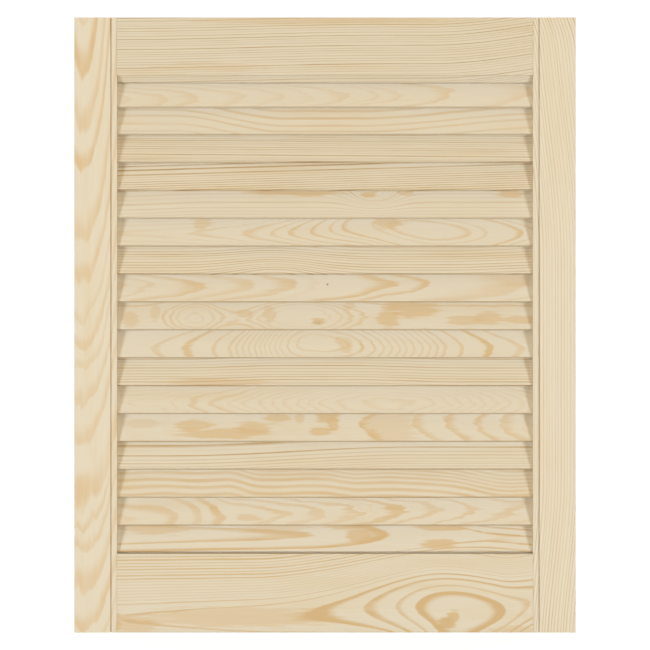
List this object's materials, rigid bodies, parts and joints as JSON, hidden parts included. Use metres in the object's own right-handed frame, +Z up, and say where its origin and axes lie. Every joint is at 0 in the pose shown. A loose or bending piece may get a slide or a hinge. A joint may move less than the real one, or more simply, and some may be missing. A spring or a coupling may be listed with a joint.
{
  "type": "louvred cabinet door",
  "caption": "Flat rectangular cabinet door of raw pale pine: beaded stiles and plain rails framing a full run of fixed slanted slats.",
  "frame": {"origin": "middle of the bottom edge, at mid thickness", "axes": "+Z up along the stiles, -Y out of the front face, +X to the right as seen from the front"},
  "size_m": [0.494, 0.021, 0.606],
  "materials": {
    "stile_pine": "planed raw pine, unfinished, matt",
    "rail_pine": "planed raw pine, unfinished, matt",
    "slat_pine": "planed raw pine, unfinished, matt",
    "dowel_beech": "turned beech, fluted"
  },
  "bodies": {
    "root": {"left_stile": "stile_pine", "right_stile": "stile_pine", "top_rail": "rail_pine", "bottom_rail": "rail_pine", "slat_01": "slat_pine", "slat_02": "slat_pine", "slat_03": "slat_pine", "slat_04": "slat_pine", "slat_05": "slat_pine", "slat_06": "slat_pine", "slat_07": "slat_pine", "slat_08": "slat_pine", "slat_09": "slat_pine", "slat_10": "slat_pine", "slat_11": "slat_pine", "slat_12": "slat_pine", "slat_13": "slat_pine", "slat_14": "slat_pine", "slat_15": "slat_pine", "slat_16": "slat_pine", "slat_17": "slat_pine", "left_dowel_1": "dowel_beech", "left_dowel_2": "dowel_beech", "left_dowel_3": "dowel_beech", "left_dowel_4": "dowel_beech", "right_dowel_1": "dowel_beech", "right_dowel_2": "dowel_beech", "right_dowel_3": "dowel_beech", "right_dowel_4": "dowel_beech"}
  },
  "joints": []
}
